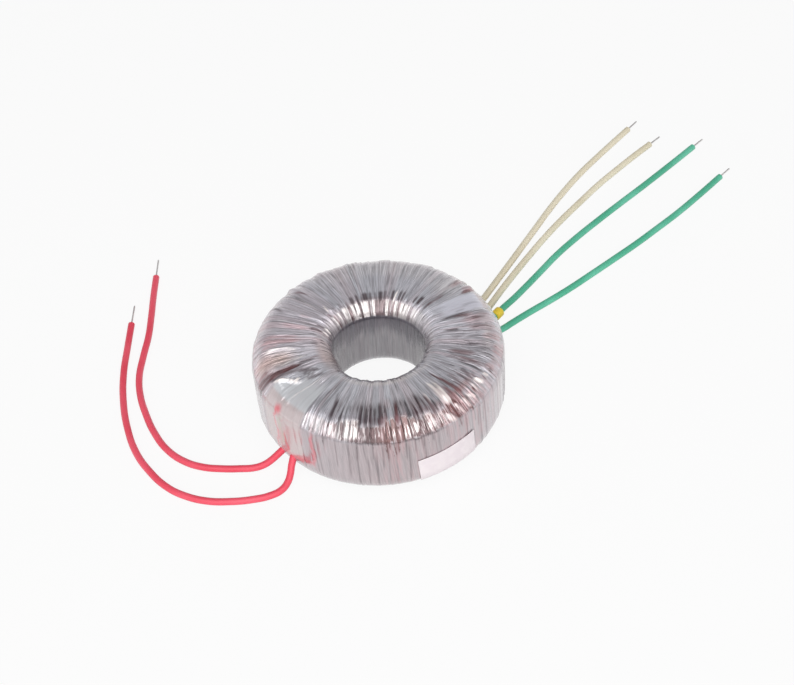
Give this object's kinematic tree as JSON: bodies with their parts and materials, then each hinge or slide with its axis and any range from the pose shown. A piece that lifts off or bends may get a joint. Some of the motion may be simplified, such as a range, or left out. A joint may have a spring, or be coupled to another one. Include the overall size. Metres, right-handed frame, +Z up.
{
  "type": "toroidal transformer",
  "caption": "Ring-shaped mains transformer, film-wrapped over its windings, with a centre hole for clamping and flying insulated leads with tinned ends.",
  "frame": {"origin": "centre of the ring's bottom face, on the axis of its hole", "axes": "+Z up along the ring's axis, +Y away from the label side, -X towards the red leads, +X +Y towards the ivory and green leads"},
  "size_m": [0.2222, 0.1732, 0.029],
  "materials": {
    "core_steel": "strip-wound silicon steel",
    "moulded_nylon": "moulded",
    "enamelled_copper": "enamelled wire, glossy",
    "insulating_film": "polyester film",
    "pressboard": "matt",
    "wrapping_film": "clear polyester film over copper, glossy, in narrow overlapping turns",
    "label_paper": "matt, blank",
    "joint_sleeve": "extruded sleeve",
    "tinned_copper": "tinned",
    "red_pvc": "extruded, satin",
    "ivory_pvc": "extruded, satin",
    "green_pvc": "extruded, satin",
    "yellow_sleeve": "extruded, satin"
  },
  "bodies": {
    "root": {"core": "core_steel", "upper_core_cap": "moulded_nylon", "lower_core_cap": "moulded_nylon", "primary_winding": "enamelled_copper", "barrier": "insulating_film", "secondary_1_winding": "enamelled_copper", "secondary_tape": "insulating_film", "secondary_2_winding": "enamelled_copper", "primary_lead_strip": "pressboard", "secondary_lead_strip": "pressboard", "outer_wrap": "wrapping_film", "label": "label_paper", "marker_sleeve": "yellow_sleeve", "red_1_joint": "tinned_copper", "red_1_sleeve": "joint_sleeve", "red_1_root": "red_pvc", "red_1_lead": "red_pvc", "red_1_end": "tinned_copper", "red_2_joint": "tinned_copper", "red_2_sleeve": "joint_sleeve", "red_2_root": "red_pvc", "red_2_lead": "red_pvc", "red_2_end": "tinned_copper", "ivory_1_joint": "tinned_copper", "ivory_1_sleeve": "joint_sleeve", "ivory_1_root": "ivory_pvc", "ivory_1_lead": "ivory_pvc", "ivory_1_end": "tinned_copper", "ivory_2_joint": "tinned_copper", "ivory_2_sleeve": "joint_sleeve", "ivory_2_root": "ivory_pvc", "ivory_2_lead": "ivory_pvc", "ivory_2_end": "tinned_copper", "green_1_joint": "tinned_copper", "green_1_sleeve": "joint_sleeve", "green_1_root": "green_pvc", "green_1_lead": "green_pvc", "green_1_end": "tinned_copper", "green_2_joint": "tinned_copper", "green_2_sleeve": "joint_sleeve", "green_2_root": "green_pvc", "green_2_lead": "green_pvc", "green_2_end": "tinned_copper"}
  },
  "joints": []
}
